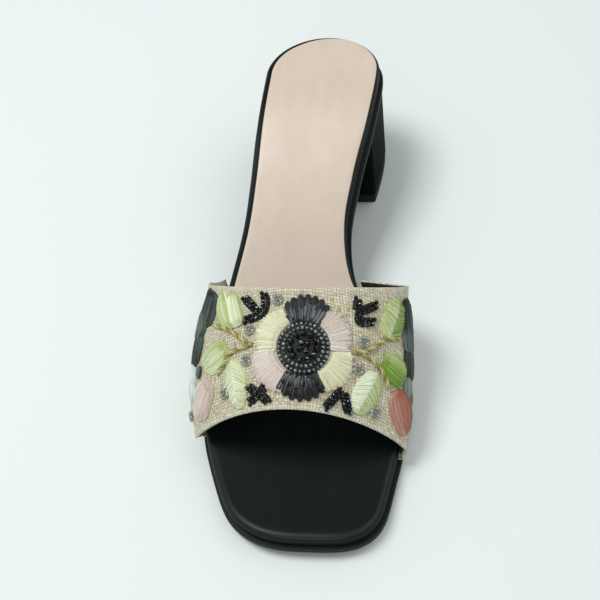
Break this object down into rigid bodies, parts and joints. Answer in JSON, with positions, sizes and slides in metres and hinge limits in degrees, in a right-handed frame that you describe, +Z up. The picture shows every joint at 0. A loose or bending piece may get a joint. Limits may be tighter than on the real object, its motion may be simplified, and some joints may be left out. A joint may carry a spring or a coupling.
{
  "type": "mule sandal",
  "caption": "Backless mule sandal with a square toe, a block heel and one wide cloth band over the forefoot with raised floral embroidery.",
  "frame": {"origin": "on the floor, under the middle of the shoe's box", "axes": "+Y from the toe to the heel, +X to the big-toe side, +Z up"},
  "size_m": [0.0982, 0.25, 0.0622],
  "materials": {
    "rubber": "satin black sole rubber",
    "black_leather": "smooth satin black leather",
    "nude_leather": "smooth nude sock leather",
    "woven_cloth": "coarse mottled woven cloth, cream and tan",
    "beads": "glossy black seed beads",
    "black_thread": "black satin stitch",
    "yellow_thread": "pale yellow satin stitch",
    "pink_thread": "pale pink satin stitch",
    "green_thread": "pale green satin ribbon",
    "rose_thread": "dusty pink satin stitch",
    "coral_thread": "coral satin stitch"
  },
  "bodies": {
    "root": {"outsole": "rubber", "heel_top_piece": "rubber", "footbed": "black_leather", "heel_block": "black_leather", "insole_sock": "nude_leather", "upper_band": "woven_cloth", "flower_centre": "beads", "petal_1": "black_thread", "petal_2": "yellow_thread", "petal_3": "pink_thread", "petal_4": "black_thread", "petal_5": "yellow_thread", "petal_6": "pink_thread", "leaf_1": "green_thread", "leaf_2": "green_thread", "leaf_3": "green_thread", "leaf_4": "green_thread", "leaf_5": "green_thread", "leaf_6": "green_thread", "bud_1": "rose_thread", "bud_2": "coral_thread", "side_petal_1": "black_thread", "side_petal_2": "black_thread"}
  },
  "joints": []
}
